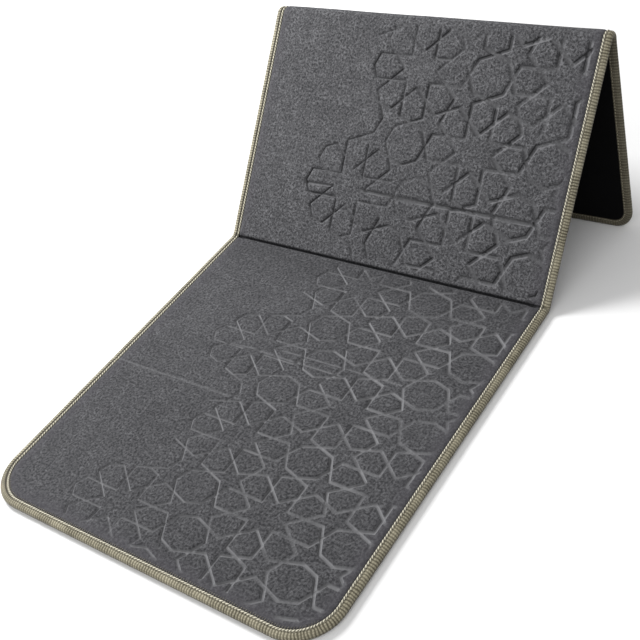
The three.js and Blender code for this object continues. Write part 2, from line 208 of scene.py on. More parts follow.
def inset_places(inset):
    """Plan places of the stations moved into the mat by inset."""
    return STATIONS[:, 0:2] - np.asarray(inset)[..., None] * STATIONS[:, 2:4]


# The tape reaches less far over the plush at the front and right than at the left
TAPE_NARROWING = 0.003
NARROWS_OVER = (-0.255, -0.19)


def narrowing(across):
    return TAPE_NARROWING * smooth_step(across, *NARROWS_OVER)


NARROWER = narrowing(STATIONS[:, 0])


def depth_in_mat(across, along):
    """How far each plan place lies inside the mat's edge, round its corners too."""
    from_side = HALF_WIDTH - np.abs(across)
    from_end = np.minimum(along, MAT_LENGTH - along)
    radius = np.where(along < MAT_LENGTH / 2, SEAT_CORNER_RADIUS, FOOT_CORNER_RADIUS)
    beyond = np.hypot(np.maximum(0, radius - from_side), np.maximum(0, radius - from_end))
    inside = np.minimum(from_side, from_end)
    return np.where((from_side < radius) & (from_end < radius), radius - beyond, inside)


# The pressed pattern, in units of a petal's reach from the middle of its star. Eight pairs of
# lines make the star and run on as the sides of eight petals round it. Petals meet tip to tip,
# or at the corners of octagons.
PETALS = 8
STAR_LINE = 0.24
POINT_ANGLE = math.pi / PETALS
NOTCH = STAR_LINE * math.sqrt(2)
SHOULDER = 1 - STAR_LINE * math.tan(POINT_ANGLE)
OCTAGON_DISTANCE = math.sqrt(2)
OCTAGON_RADIUS = OCTAGON_DISTANCE - 1
HALF_CELL = 1 + math.sqrt(2)
CELL_STARS = ((0, 0), (HALF_CELL, 1), (HALF_CELL, -1), (1, HALF_CELL), (-1, HALF_CELL))
CELL_COLUMNS = (0, 1)
CELL_ROWS = (-1, 0, 1)

# How it lies on the mat. Each pressed stretch has its start and end, the place of a star and
# how far its petals reach, all along the mat.
PRESSED_MARGIN = 0.017
CREASE_CLEARANCE = 0.007
RIDGE_CLEARANCE = 0.003
REACH_ACROSS = 0.0765
FIRST_STAR_ACROSS = -0.07
PRESSED_STRETCHES = (
    (PRESSED_MARGIN, CREASE_START - CREASE_CLEARANCE, 0.352, 0.0603),
    (BACKREST_START + CREASE_CLEARANCE, RIDGE_START - RIDGE_CLEARANCE, 0.654, 0.073),
)
PETAL_CENTRE = 0.8
LEFT_LIMIT = FIRST_STAR_ACROSS - PETAL_CENTRE * REACH_ACROSS

# Half width of a groove's floor at the left and right of the mat, the width of its walls, its
# depth, and how strongly single outlines are pressed. The floors widen over FLOOR_WIDENS
SEAT_FLOOR = (0.0007, 0.0018)
BACKREST_FLOOR = (0.0008, 0.003)
GROOVE_WALL = 0.0011
GROOVE_DEPTH = 0.0025
STRENGTHS = (0.65, 0.85, 0.95, 1.0)
FLOOR_WIDENS = (-0.1, 0.22)

# Worn patches, where the grooves are shallower: their size, least share and range of noise
WORN_PATCH = 0.045
WORN_LEAST = 0.55
WORN_RANGE = (-0.35, 0.1)
WORN_SEED = 5

# Lengths over which the grooves fade out at the folds and at the mat's edge and ridge
FOLD_FADE = 0.003
EDGE_FADE = 0.004


def turned(points, angle):
    cos, sin = math.cos(angle), math.sin(angle)
    return np.array([(x * cos - y * sin, x * sin + y * cos) for x, y in points])


def cell_outlines(centre):
    """The petals and octagons of one square cell of the pattern."""
    half_petal = [(NOTCH + STAR_LINE, STAR_LINE), (SHOULDER, STAR_LINE)]
    petal = [(NOTCH, 0), *half_petal, (1, 0), *[(x, -y) for x, y in reversed(half_petal)]]
    turns = [2 * POINT_ANGLE * k for k in range(PETALS)]
    petals = [turned(petal, angle) + star for star in CELL_STARS for angle in turns]
    octagon = np.array([turned([(OCTAGON_RADIUS, 0)], angle)[0] for angle in turns])
    places = [turned([(OCTAGON_DISTANCE, 0)], angle)[0] for angle in turns]
    octagons = [octagon + place for place in [*places, (HALF_CELL, HALF_CELL)]]
    return [outline + centre for outline in petals + octagons]


def is_drawn(middle, star, reach):
    """Left of the middle of the first stars there are only those stars' own petals."""
    cells = (middle[1] - star) / reach / (2 * HALF_CELL)
    beside_star = abs(cells - round(cells)) * 2 * HALF_CELL < 1
    return beside_star or middle[0] > FIRST_STAR_ACROSS


def runs_of(flags, closed):
    """Index runs where flags hold; a closed outline that holds all round is one closed run."""
    count = len(flags)
    if all(flags):
        return [(list(range(count)), closed)]
    start = list(flags).index(False) if closed else 0
    runs, run = [], []
    for step in range(count):
        i = (start + step) % count
        if flags[i]:
            run.append(i)
        elif run:
            runs.append(run)
            run = []
    if run:
        runs.append(run)
    return [(run, False) for run in runs]


def pattern_runs():
    """Every run of pressed sides: corners in across and along, closed, strength, stretch."""
    chance = np.random.default_rng(11)
    made = []
    for start, end, star, reach in PRESSED_STRETCHES:
        for column in CELL_COLUMNS:
            for row in CELL_ROWS:
                for outline in cell_outlines((2 * HALF_CELL * column, 2 * HALF_CELL * row)):
                    strength = chance.choice(STRENGTHS)
                    placed = outline * (REACH_ACROSS, reach) + (FIRST_STAR_ACROSS, star)
                    low, high = placed.min(axis=0), placed.max(axis=0)
                    on_mat = high[1] > start and low[1] < end and low[0] < HALF_WIDTH
                    if not on_mat or placed.mean(axis=0)[0] < LEFT_LIMIT:
                        continue
                    middles = (placed + np.roll(placed, -1, axis=0)) / 2
                    drawn = [is_drawn(middle, star, reach) for middle in middles]
                    for sides, closed in runs_of(drawn, True):
                        corners = sides if closed else [*sides, sides[-1] + 1]
                        points = placed[np.array(corners) % len(placed)]
                        made.append((points, closed, strength, (start, end)))
    return made


def sides_of(points, closed):
    ends = np.roll(points, -1, axis=0)
    return list(zip(points, ends))[: None if closed else -1]


PATTERN_RUNS = pattern_runs()


def pressed_share(across, along):
    """1 on the pressed stretches of the mat, fading to 0 at their limits."""
    seat = smooth_step(PRESSED_STRETCHES[0][1] - along, 0, FOLD_FADE)
    back = smooth_step(along - PRESSED_STRETCHES[1][0], 0, FOLD_FADE)
    ridge = smooth_step(PRESSED_STRETCHES[1][1] - along, 0, EDGE_FADE)
    inset = depth_in_mat(across, along)
    edge = smooth_step(inset, PRESSED_MARGIN, PRESSED_MARGIN + EDGE_FADE)
    return np.maximum(seat, back * ridge) * edge


def groove_floor(points):
    """Half width of the groove floors at plan places: the lines widen to the right."""
    share = smooth_step(points[:, 0], *FLOOR_WIDENS)
    on_back = points[:, 1] > CREASE_START
    floors = zip(BACKREST_FLOOR, SEAT_FLOOR)
    narrow, wide = (np.where(on_back, back, seat) for back, seat in floors)
    return narrow + (wide - narrow) * share


# Straight marks left by folding and packing: across and along at both ends, half width, depth
PACKING_MARKS = (
    ((-0.253, 0.256), (-0.033, 0.2575), 0.0022, 0.0006),
    ((-0.118, 0.3378), (-0.072, 0.342), 0.0019, 0.0009),
    ((-0.056, 0.341), (0.075, 0.3405), 0.0019, 0.0012),
    ((-0.03, 0.353), (0.165, 0.3552), 0.0018, 0.001),
    ((-0.146, 0.65), (-0.1, 0.6513), 0.0026, 0.002),
    ((-0.047, 0.6523), (0.02, 0.651), 0.0032, 0.0022),
    ((0.014, 0.6508), (0.215, 0.6495), 0.004, 0.0022),
    ((-0.143, 0.6367), (-0.092, 0.6378), 0.0022, 0.0016),
)
MARK_WALL = 0.0012
FULL_MARK = 0.001

# The plush pad in its plan, across and along the plush face. PAD_EDGE has insets from the mat's
# edge and how far the plush rises there over its own height
PLAN_STEP = 0.0042
LINE_STEP = 0.0036
LINE_SPARE = 0.0012
PLAN_TOLERANCE = 1e-5
PAD_INSETS = (0.011, 0.0132, 0.0138, 0.015, 0.0175, 0.0215, 0.026)
PAD_EDGE = (
    (0.011, 0.0132, 0.0137, 0.015, 0.0175, 0.024),
    (-0.0031, -0.0028, -0.0016, -0.0007, 0, 0.0001),
)
CREASE_ROWS = (-0.006, -0.0042, -0.003, -0.0021, -0.0014, -0.0008, -0.0003, 0.0)
RIDGE_STEP = 0.002
PAD_UNDERSIDE = 0.004

# The plush face is a little uneven, as bump sizes and heights, but level at its edge and crease
UNEVENNESS = ((0.16, 0.0007), (0.055, 0.00035))
UNEVEN_SEED = 3
LEVEL_EDGE = (0.014, 0.05)
LEVEL_CREASE = (0, 0.03)


def divided(points, step, closed):
    """A run of corners with its sides divided into lengths of about step."""
    made = []
    for a, b in sides_of(points, closed):
        count = max(1, round(float(np.hypot(*(b - a))) / step))
        made += [a + (b - a) * i / count for i in range(count)]
    return np.array(made if closed else [*made, points[-1]])


def mitred(points, closed):
    """The mitre of each point of a run, pointing to its left, one unit away from its sides."""
    before = points - np.roll(points, 1, axis=0)
    after = np.roll(points, -1, axis=0) - points
    if not closed:
        before[0] = after[0]
        after[-1] = before[-1]
    before = before / np.hypot(*before.T)[:, None]
    after = after / np.hypot(*after.T)[:, None]
    left = np.stack([-(before + after)[:, 1], (before + after)[:, 0]], axis=1)
    return left / (1 + (before * after).sum(axis=1))[:, None]


class Plan:
    """Points and lines of the plush face, gathered before they are made into triangles."""

    def __init__(self):
        self.points = []
        self.edges = []

    def add_points(self, points):
        first = len(self.points)
        self.points += [tuple(point) for point in points]
        return first

    def add_line(self, points, closed):
        first = self.add_points(points)
        count = len(points)
        for i in range(count if closed else count - 1):
            self.edges.append((first + i, first + (i + 1) % count))


def on_face(points):
    return np.stack([points[:, 0], face_length(points[:, 1])], axis=1)


def segment_offset(points, a, b):
    """The way from a segment to each point, and how far it is."""
    along = np.subtract(b, a)
    share = np.clip(((points - a) @ along) / (along @ along), 0, 1)
    offset = points - a - share[:, None] * along
    return offset, np.hypot(*offset.T)


def near(points, a, b, reach):
    low = np.minimum(a, b) - reach
    high = np.maximum(a, b) + reach
    return np.flatnonzero(((points > low) & (points < high)).all(axis=1))


def close_sides(points, reach):
    """For each side of the pattern the plan places near it, their way from it, how far they
    are, and its strength."""
    for run, closed, strength, (start, end) in PATTERN_RUNS:
        for a, b in sides_of(run, closed):
            close = near(points, a, b, reach)
            close = close[(points[close, 1] > start) & (points[close, 1] < end)]
            yield close, *segment_offset(points[close], a, b), strength


def close_marks(points, spare=0.0):
    """The same for each packing mark, with its half width and depth."""
    for a, b, half_width, depth in PACKING_MARKS:
        close = near(points, a, b, half_width + spare)
        yield close, *segment_offset(points[close], a, b), half_width, depth


# Painted light and shade on the grooves' walls: one wall of each groove is painted dark and the
# other light, as the key lamp lights them.
# The way from the painted shade to the painted highlight, across and along the mat, on the seat
# and on the backrest
SEAT_LIGHT_WAY = (0.86, 0.51)
BACKREST_LIGHT_WAY = (0.78, -0.63)
TINY = 1e-6


def lit_side(offset, distance, light_way):
    """Painted light beside a line, from -1 on its painted shade side to 1 on its painted highlight
    side.
    """
    return (offset * light_way).sum(axis=1) / np.maximum(distance, TINY)


def pressed_depths(points):
    """At plan places: the grooves' share of their depth, the painted light and shade on their
    walls, the marks' depth.
    """
    grooves, painted_wall_light, marks = np.zeros((3, len(points)))
    floor = groove_floor(points)
    on_back = points[:, 1] > BACKREST_START
    light_way = np.where(on_back[:, None], BACKREST_LIGHT_WAY, SEAT_LIGHT_WAY)
    reach = max(BACKREST_FLOOR) + GROOVE_WALL
    for close, offset, distance, strength in close_sides(points, reach):
        pressed = strength * (1 - smooth_step(distance - floor[close], 0, GROOVE_WALL))
        painted_light_here = pressed * lit_side(offset, distance, light_way[close])
        painted_wall_light[close] = np.where(pressed > grooves[close], painted_light_here, painted_wall_light[close])
        grooves[close] = np.maximum(grooves[close], pressed)
    for close, offset, distance, half_width, depth in close_marks(points):
        share = 1 - smooth_step(distance, half_width - MARK_WALL, half_width)
        painted_light_here = share * lit_side(offset, distance, light_way[close]) * on_back[close]
        painted_wall_light[close] = np.where(share > grooves[close], painted_light_here, painted_wall_light[close])
        marks[close] = np.maximum(marks[close], depth * share)
    patches = smooth_step(soft_noise(points, WORN_PATCH, WORN_SEED), *WORN_RANGE)
    worn = WORN_LEAST + (1 - WORN_LEAST) * patches
    worn *= pressed_share(*points.T)
    return grooves * worn, painted_wall_light * worn, marks


def clear_of_lines(points):
    """Which plan places lie clear of the grooves and marks, so that no triangle is a sliver."""
    clear = np.ones(len(points), bool)
    rim = groove_floor(points) + GROOVE_WALL
    reach = max(BACKREST_FLOOR) + GROOVE_WALL + LINE_SPARE
    for close, _, distance, _ in close_sides(points, reach):
        clear[close] &= distance > rim[close] + LINE_SPARE
    for close, _, distance, half_width, _ in close_marks(points, LINE_SPARE):
        clear[close] &= distance > half_width + LINE_SPARE
    return clear


def plan_of_plush():
    """All points and lines of the plush face's plan, its edge first."""
    plan = Plan()
    plan.add_line(on_face(inset_places(PAD_INSETS[0] - NARROWER)), True)
    for inset in PAD_INSETS[1:]:
        plan.add_points(on_face(inset_places(inset - NARROWER)))
    inner = PAD_INSETS[-1] + PLAN_STEP / 2

    for run, closed, _, (start, end) in PATTERN_RUNS:
        points = divided(run, LINE_STEP, closed)
        mitre = mitred(points, closed)
        floor = groove_floor(points)
        for away in (floor, -floor, floor + GROOVE_WALL, -floor - GROOVE_WALL):
            moved = points + mitre * away[:, None]
            flags = pressed_share(*moved.T) > 0.5
            flags &= (moved[:, 1] > start) & (moved[:, 1] < end)
            for indices, whole in runs_of(list(flags), closed):
                if len(indices) > 1:
                    plan.add_line(on_face(moved[indices]), whole)
    for a, b, half_width, _ in PACKING_MARKS:
        way = np.subtract(b, a)
        length = float(np.hypot(*way))
        aside = np.array([-way[1], way[0]]) / length
        count = round(length / PLAN_STEP)
        for away in (-half_width, MARK_WALL - half_width, half_width - MARK_WALL, half_width):
            line = [a + way * i / count + aside * away for i in range(count + 1)]
            plan.add_points(on_face(np.array(line)))

    side = HALF_WIDTH - inner
    columns = spaced(-side, side, PLAN_STEP)
    ridge_rows = spaced(FACE_RIDGE[0] - RIDGE_STEP, FACE_RIDGE[1] + RIDGE_STEP, RIDGE_STEP)
    crease_rows = [FACE_CREASE + sign * row for row in CREASE_ROWS for sign in (-1, 1)]
    for row in [*ridge_rows, *sorted(set(crease_rows))]:
        plan.add_points([(x, row) for x in columns])
    rows = np.arange(inner, FACE_LENGTHS[-1] - inner, PLAN_STEP * math.sqrt(0.75))
    beside = PLAN_STEP / 2
    grid = [(x + beside * (i % 2), row) for i, row in enumerate(rows) for x in columns[:-1]]
    grid = np.array(grid)
    flat = np.stack([grid[:, 0], along_of(grid[:, 1])], axis=1)
    keep = depth_in_mat(*flat.T) > inner
    keep &= np.abs(grid[:, 1] - FACE_CREASE) > -CREASE_ROWS[0] + beside
    keep &= (grid[:, 1] < ridge_rows[0] - beside) | (grid[:, 1] > ridge_rows[-1] + beside)
    keep[keep] = clear_of_lines(flat[keep])
    plan.add_points(grid[keep])
    return plan


# The crease presses a notch into the plush, of this width and depth, shallower at its ends
CREASE_NOTCH = (0.0016, 0.0042)
NOTCH_ENDS = (0.01, 0.02)


def plush_rise(across, along, face):
    """Height of the plush over the underside, with its grooves, painted wall light and marks."""
    points = np.stack([across, along], axis=1)
    grooves, painted_wall_light, marks = pressed_depths(points)
    inset = depth_in_mat(across, along)
    bumps = [height * soft_noise(points, size, UNEVEN_SEED) for size, height in UNEVENNESS]
    uneven = sum(bumps) * smooth_step(inset, *LEVEL_EDGE)
    uneven *= smooth_step(np.abs(face - FACE_CREASE), *LEVEL_CREASE)
    notch = CREASE_NOTCH[1] * np.exp(-(((face - FACE_CREASE) / CREASE_NOTCH[0]) ** 2))
    notch *= smooth_step(inset, *NOTCH_ENDS)
    edge = np.interp(inset + narrowing(across), *PAD_EDGE)
    rise = PLUSH_HEIGHT + edge + uneven - GROOVE_DEPTH * grooves - marks - notch
    return rise, grooves, painted_wall_light, marks


def in_scene(name, data):
    """A new object in the scene."""
    made = bpy.data.objects.new(name, data)
    bpy.context.scene.collection.objects.link(made)
    return made


def new_object(name, points, faces):
    mesh = bpy.data.meshes.new(name)
    mesh.from_pydata([tuple(point) for point in points], [], faces)
    mesh.validate()
    mesh.shade_smooth()
    return in_scene(name, mesh)


def add_cloth_map(piece, places):
    """A UV map in metres from one (across, along) place for each point of the mesh."""
    layer = piece.data.uv_layers.new(name="Cloth")
    corners = np.empty(len(piece.data.loops), dtype=np.int32)
    piece.data.loops.foreach_get("vertex_index", corners)
    layer.data.foreach_set("uv", np.asarray(places, dtype=np.float32)[corners].ravel())


def make_plush_pad():
    plan = plan_of_plush()
    edge_count = len(STATIONS)
    flat_points = [Vector(point) for point in plan.points]
    made = delaunay_2d_cdt(flat_points, plan.edges, [], 1, PLAN_TOLERANCE, True)
    face_points = np.array([tuple(point) for point in made[0]])
    across, face = face_points.T
    along = along_of(face)
    rise, grooves, painted_wall_light, marks = plush_rise(across, along, face)
    top = lay(across, along, rise)

    ring = np.empty(edge_count, dtype=int)
    for i, sources in enumerate(made[3]):
        for source in sources:
            if source < edge_count:
                ring[source] = i
    under_places = inset_places(PAD_INSETS[0] - NARROWER)
    under = lay(*under_places.T, PAD_UNDERSIDE)
    first = len(top)
    faces = [tuple(triangle) for triangle in made[2]]
    for i in range(edge_count):
        j = (i + 1) % edge_count
        faces.append((ring[i], first + i, first + j, ring[j]))
    faces += [tuple(first + i for i in polygon) for polygon in crosswise()]

    pad = new_object("plush_cover", np.concatenate([top, under]), faces)
    face_out(pad)
    surface = {
        "pressed": grooves,
        "painted_wall_light": painted_wall_light,
        "marked": marks / FULL_MARK,
        "along_face": face,
        "from_edge": depth_in_mat(across, along),
    }
    for name, values in surface.items():
        values = np.concatenate([values, np.zeros(edge_count)]).astype(np.float32)
        pad.data.attributes.new(name, "FLOAT", "POINT").data.foreach_set("value", values)
    add_cloth_map(pad, np.concatenate([face_points, on_face(under_places)]))
    return pad


def crosswise():
    """Polygons that close a layer of the mat, each between two rows of its edge stations."""
    count = len(STATIONS)
    half = len(side_places())
    foot_reach = HALF_WIDTH - FOOT_CORNER_RADIUS
    foot = len(spaced(foot_reach, -foot_reach, SIDE_STEP)) + (CORNER_STEPS - 1) * 2
    left_first = half + foot
    left_last = left_first + half - 1
    polygons = [(i, i + 1, left_last - 1 - i, left_last - i) for i in range(half - 1)]
    polygons.append(tuple(range(half - 1, left_first + 1)))
    polygons.append((*range(left_last, count), 0))
    return polygons


def walls(rows, size, first=0):
    """Four-sided faces between rows of points, each row closed on itself."""
    faces = []
    for row in range(rows - 1):
        for i in range(size):
            a = first + row * size + i
            b = first + row * size + (i + 1) % size
            faces.append((a, b, b + size, a + size))
    return faces


def lengths_round(points):
    """How far each point lies along a closed line of points, and the whole length last."""
    steps = np.linalg.norm(np.roll(points, -1, axis=0) - points, axis=1)
    return np.concatenate([[0], np.cumsum(steps)])


def face_out(piece):
    """Turns every face of a closed piece outwards."""
    bpy.ops.object.select_all(action="DESELECT")
    bpy.context.view_layer.objects.active = piece
    piece.select_set(True)
    bpy.ops.object.mode_set(mode="EDIT")
    bpy.ops.mesh.select_all(action="SELECT")
    bpy.ops.mesh.normals_make_consistent(inside=False)
    bpy.ops.object.mode_set(mode="OBJECT")
    piece.select_set(False)


# The binding tape's section as (inset, rise) in millimetres: outside from its upper lip, round
# the edge and under it, then back along the inside. The rounds are turns in degrees and steps
MILLIMETRE = 0.001
TAPE_LIP = ((13.0, 9.0), (13.2, 9.8), (12.95, 10.5), (12.3, 10.9), (11.5, 10.9), (10.85, 10.45))
TAPE_SEAM = ((10.4, 9.75), (9.95, 9.7), (9.4, 10.1), (8.4, 10.4), (7.1, 10.45), (6.0, 10.3))
TAPE_UNDER = ((6.0, 0.0), (7.0, 0.0), (7.7, 0.25), (8.2, 0.5), (8.7, 0.25), (9.3, 0.0), (9.9, 0.1))
TAPE_UNDER_LIP = ((10.2, 0.6), (10.1, 1.2), (9.4, 1.6), (7.5, 1.6))
TAPE_ROUND = (5.0, 5.15, 3.55)
TAPE_INSIDE = ((7.5, 8.5), (10.5, 8.55), (12.2, 8.7))
ROUND_OUTSIDE = (72, -84, 11)
ROUND_INSIDE = (-80, 80, 7)

# The narrowing grows over this length past the band, and only above this rise
NARROWED_OVER = 0.0044
UPPER_RISE = 0.008


def tape_section():
    """The closed section in metres, and how many of its points are the outside."""
    centre, outer, inner = TAPE_ROUND

    def arc(radius, turns):
        angles = np.radians(np.linspace(*turns))
        return [(centre - radius * math.cos(a), centre + radius * math.sin(a)) for a in angles]

    outside = [*TAPE_LIP, *TAPE_SEAM, *arc(outer, ROUND_OUTSIDE), *TAPE_UNDER]
    inside = [*TAPE_UNDER_LIP, *arc(inner, ROUND_INSIDE), *TAPE_INSIDE]
    section = np.array(outside + inside) * MILLIMETRE
    section[:, 1] = np.maximum(section[:, 1], 0)
    return section, len(outside)


# Small puckers where the tape is gathered at the crease, one fold across it on the left, as place,
# width and depth, and waves in its height all round. The underside stays on the floor
PUCKER_HEIGHT = 0.0008
PUCKER_PERIOD = 0.0052
PUCKER_REACH = 0.01
TAPE_FOLD = (0.256, 0.0022, 0.0008)
WAVE_HEIGHT = 0.00022
WAVE_LENGTH = 0.012
WAVE_SEED = 7
LIFTED_RISES = (0.002, 0.009)


def make_edge_tape():
    section, outside_count = tape_section()
    count = len(STATIONS)
    size = len(section)
    inset, rise = section.T
    past_band = inset - TAPE_SEAM[-1][0] * MILLIMETRE
    upper = np.clip(past_band / NARROWED_OVER, 0, 1) * (rise > UPPER_RISE)
    insets = inset - NARROWER[:, None] * upper
    places = STATIONS[:, None, 0:2] - insets[..., None] * STATIONS[:, None, 2:4]
    waves = soft_noise(STATIONS[:, 0:2], WAVE_LENGTH, WAVE_SEED) * WAVE_HEIGHT
    on_side = np.abs(STATIONS[:, 2]) == 1
    to_crease = np.abs(STATIONS[:, 1] - (CREASE_START + BACKREST_START) / 2)
    gathered = np.exp(-((to_crease / PUCKER_REACH) ** 2)) * on_side
    gathers = np.cos(to_crease * 2 * math.pi / PUCKER_PERIOD) * gathered * PUCKER_HEIGHT
    fold_place, fold_width, fold_depth = TAPE_FOLD
    folded = np.exp(-(((STATIONS[:, 1] - fold_place) / fold_width) ** 2))
    gathers -= folded * fold_depth * (STATIONS[:, 2] == -1)
    lifted = smooth_step(rise, *LIFTED_RISES)
    heights = rise + (waves + gathers)[:, None] * lifted
    points = lay(places[..., 0], places[..., 1], heights)
    points[..., 2] = np.maximum(points[..., 2], 0)

    lengths = lengths_round(points[:, outside_count // 2])
    widths = lengths_round(section)
    faces = []
    uv = []
    for i in range(count):
        j = (i + 1) % count
        for k in range(size):
            m = (k + 1) % size
            faces.append((i * size + k, j * size + k, j * size + m, i * size + m))
            uv += [lengths[i], widths[k], lengths[i + 1], widths[k]]
            uv += [lengths[i + 1], widths[k + 1], lengths[i], widths[k + 1]]
    tape = new_object("binding_tape", points.reshape(-1, 3), faces)
    tape.data.uv_layers.new(name="Cloth").data.foreach_set("uv", uv)
    face_out(tape)
    return tape


# Lockstitches in the tape's seams, each a short thread that dips into the cloth at both ends,
# and slanting overlock stitches that hold the plush's edge along the front. A stitch's rows are
# places along it as shares of its length, radii and how far they lie out of the cloth
STITCH_SIDES = 5
STITCH_ROWS = (
    (-0.5, 0.0001, -0.0003),
    (-0.36, 0.00026, 0.0),
    (0.0, 0.0003, 0.00012),
    (0.36, 0.00026, 0.0),
    (0.5, 0.0001, -0.0003),
)
UPPER_SEAM = {"inset": 0.01015, "rise": 0.0099, "pitch": 0.0042, "length": 0.0029}
UNDER_SEAM = {"inset": 0.0082, "rise": 0.0004, "pitch": 0.0042, "length": 0.0031, "side": -1}
OVERLOCK = {"inset": 0.0145, "rise": 0.0105, "pitch": 0.0032, "length": 0.001}
OVERLOCK |= {"slant": 0.003, "climb": 0.001, "front_only": True}
FRONT_FACING = -0.5


def stitch_line(inset, rise, pitch, length, side=1, slant=0.0, climb=0.0, front_only=False):
    """Points and faces of one line of stitches round the mat, at that inset and height."""
    on_top = side > 0
    places = inset_places(inset - on_top * NARROWER)
    lengths = lengths_round(lay(*places.T, rise))
    count = round(lengths[-1] / pitch)
    closed = np.concatenate([STATIONS, STATIONS[:1]])
    points = []
    faces = []
    for stitch in range(count):
        middle = (stitch + 0.5) * lengths[-1] / count
        if front_only and np.interp(middle, lengths, closed[:, 3]) > FRONT_FACING:
            continue
        first = len(points)
        for share, radius, lift in STITCH_ROWS:
            at = (middle + share * length) % lengths[-1]
            station = np.array([np.interp(at, lengths, closed[:, i]) for i in range(4)])
            inward = inset + share * slant - on_top * float(narrowing(station[0]))
            for k in range(STITCH_SIDES):
                angle = 2 * math.pi * k / STITCH_SIDES
                place = station[0:2] - (inward + radius * math.cos(angle)) * station[2:4]
                height = rise + share * climb + side * (lift + radius * math.sin(angle))
                points.append((*place, height))
        faces += walls(len(STITCH_ROWS), STITCH_SIDES, first)
        last = first + (len(STITCH_ROWS) - 1) * STITCH_SIDES
        faces.append(tuple(first + k for k in reversed(range(STITCH_SIDES))))
        faces.append(tuple(last + k for k in range(STITCH_SIDES)))
    return lay(*np.array(points).T), faces


def make_stitches():
    points = []
    faces = []
    for seam in (UPPER_SEAM, UNDER_SEAM, OVERLOCK):
        seam_points, seam_faces = stitch_line(**seam)
        faces += [tuple(len(points) + i for i in face) for face in seam_faces]
        points += [(x, y, max(0.0, z)) for x, y, z in seam_points]
    stitches = new_object("seam_stitches", points, faces)
    face_out(stitches)
    return stitches


# The backing: a sheet that sinks to the floor inside the tape, as insets and rises of its edge
BACKING_PROFILE = (
    (0.0103, 0.0), (0.01, 0.0012), (0.0085, 0.0018), (0.005, 0.0018),
    (0.005, 0.0033), (0.0095, 0.0033), (0.0112, 0.0026), (0.0118, 0.0015),
)


def make_backing():
    rings = [lay(*inset_places(inset).T, rise) for inset, rise in BACKING_PROFILE]
    faces = walls(len(rings), len(STATIONS))
    last = (len(rings) - 1) * len(STATIONS)
    for polygon in crosswise():
        faces.append(polygon)
        faces.append(tuple(last + i for i in reversed(polygon)))
    backing = new_object("backing_sheet", np.concatenate(rings), faces)
    face_out(backing)
    places = [on_face(inset_places(inset)) for inset, _ in BACKING_PROFILE]
    add_cloth_map(backing, np.concatenate(places))
    return backing


# Materials are built from nodes that read the cloth maps, in metres
RANGE_INPUTS = ("Value", "From Min", "From Max", "To Min", "To Max")
NOISE_INPUTS = ("Vector", "Scale", "Detail", "Roughness", "Distortion")
BUMP_INPUTS = ("Height", "Distance", "Strength")
MIX_INPUTS = (0, 6, 7)
MIX_RESULT = 2


def assign(tree, socket, value):
    """Gives a socket its number, or links another socket to it."""
    if isinstance(value, bpy.types.NodeSocket):
        tree.links.new(value, socket)
    else:
        socket.default_value = value


def put(tree, kind, inputs=None, **settings):
    """A node with its settings, and its inputs given as numbers or as sockets to link."""
    made = tree.nodes.new(kind)
    for name, value in settings.items():
        setattr(made, name, value)
    for name, value in (inputs or {}).items():
        assign(tree, made.inputs[name], value)
    return made


def math_node(tree, operation, *values, clamp=False):
    inputs = dict(enumerate(values))
    return put(tree, "ShaderNodeMath", inputs, operation=operation, use_clamp=clamp).outputs[0]


def times(tree, *values):
    return math_node(tree, "MULTIPLY", *values)


def times_plus(tree, *values):
    """The first value times the second, plus the third."""
    return math_node(tree, "MULTIPLY_ADD", *values)


def summed(tree, first, second, shares):
    """Two values added by their shares."""
    return times_plus(tree, first, shares[0], times(tree, second, shares[1]))


def apart(tree, *values):
    """How far two values are apart."""
    return math_node(tree, "ABSOLUTE", math_node(tree, "SUBTRACT", *values))


def ranged(tree, *values):
    """A value taken smoothly from between two values to between two others, or 0 and 1."""
    inputs = dict(zip(RANGE_INPUTS, values))
    return put(tree, "ShaderNodeMapRange", inputs, interpolation_type="SMOOTHSTEP").outputs[0]


def mixed(tree, *values):
    """Two colours mixed, from the second one's share, the first and the second."""
    inputs = dict(zip(MIX_INPUTS, values))
    return put(tree, "ShaderNodeMix", inputs, data_type="RGBA").outputs[MIX_RESULT]


def mixed_value(tree, share, first, second):
    inputs = {"Factor": share, "A": first, "B": second}
    return put(tree, "ShaderNodeMix", inputs, data_type="FLOAT").outputs[0]


def grain(tree, *values):
    """Noise at a place, with its scale, detail, roughness and distortion."""
    return put(tree, "ShaderNodeTexNoise", dict(zip(NOISE_INPUTS, values))).outputs["Fac"]


def cloth_place(tree):
    return put(tree, "ShaderNodeUVMap", uv_map="Cloth").outputs["UV"]


def surface_value(tree, name):
    return put(tree, "ShaderNodeAttribute", attribute_name=name).outputs["Fac"]


def new_material(name):
    material = bpy.data.materials.new(name)
    material.use_nodes = True
    tree = material.node_tree
    return material, tree, tree.nodes["Principled BSDF"]


def bumped(tree, *values):
    """A bump from a height, with its distance and strength."""
    return put(tree, "ShaderNodeBump", dict(zip(BUMP_INPUTS, values))).outputs["Normal"]


def finish_shader(tree, shader, colour, rough, **others):
    """Gives a shader its colour and roughness, and its other inputs by their names."""
    for name, value in {"Base Color": colour, "Roughness": rough, **others}.items():
        assign(tree, shader.inputs[name], value)


PILE_SOCKETS = (
    ("Place", "INPUT", "Vector"),
    ("Scale", "INPUT", "Float"),
    ("Ridges", "OUTPUT", "Float"),
    ("Specks", "OUTPUT", "Float"),
)
RIDGE_WIDTH = 0.075
SPECKS_FINER = 1.5
SPECK_RANGE = (0.32, 0.68)


